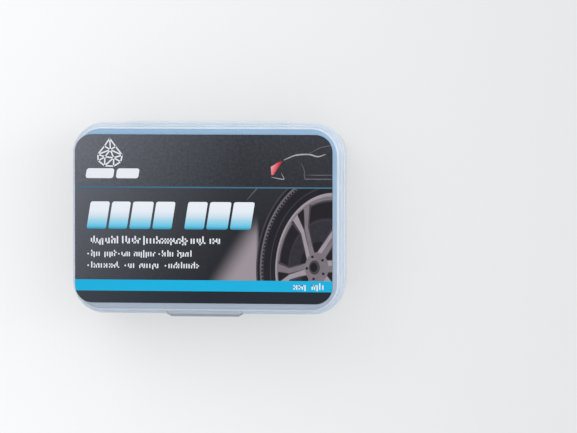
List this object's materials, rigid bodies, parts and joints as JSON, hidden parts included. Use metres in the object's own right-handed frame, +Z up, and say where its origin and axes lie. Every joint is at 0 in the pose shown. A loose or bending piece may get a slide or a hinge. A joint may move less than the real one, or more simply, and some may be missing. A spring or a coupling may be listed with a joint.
{
  "type": "clay bar",
  "caption": "Block of car detailing clay in clear film, kept in a flat flip-top box of frosted plastic with a printed label, a thumb latch and a living hinge.",
  "frame": {"origin": "centre of the footprint of the closed box, on the surface it stands on", "axes": "+X along the long side with the latch in front, +Y from the latch to the hinge, +Z up through the lid"},
  "size_m": [0.092, 0.066, 0.03],
  "materials": {
    "box_plastic": "frosted translucent polypropylene, satin sheen",
    "label_film": "dark printed film, satin",
    "clay": "smooth matt clay",
    "clear_film": "thin clear film, glossy"
  },
  "bodies": {
    "base": {"base_tray": "box_plastic", "living_hinge": "box_plastic", "clay_bar": "clay", "clay_wrap": "clear_film"},
    "lid": {"lid_shell": "box_plastic", "snap_latch": "box_plastic", "lid_label": "label_film"}
  },
  "joints": [
    {"name": "lid_hinge", "type": "hinge", "parent": "base", "child": "lid", "pos_m": [0, 0.0327, 0.02285], "axis": [-1, 0, 0], "range_deg": [0, 175], "deforming": ["living_hinge"]}
  ]
}
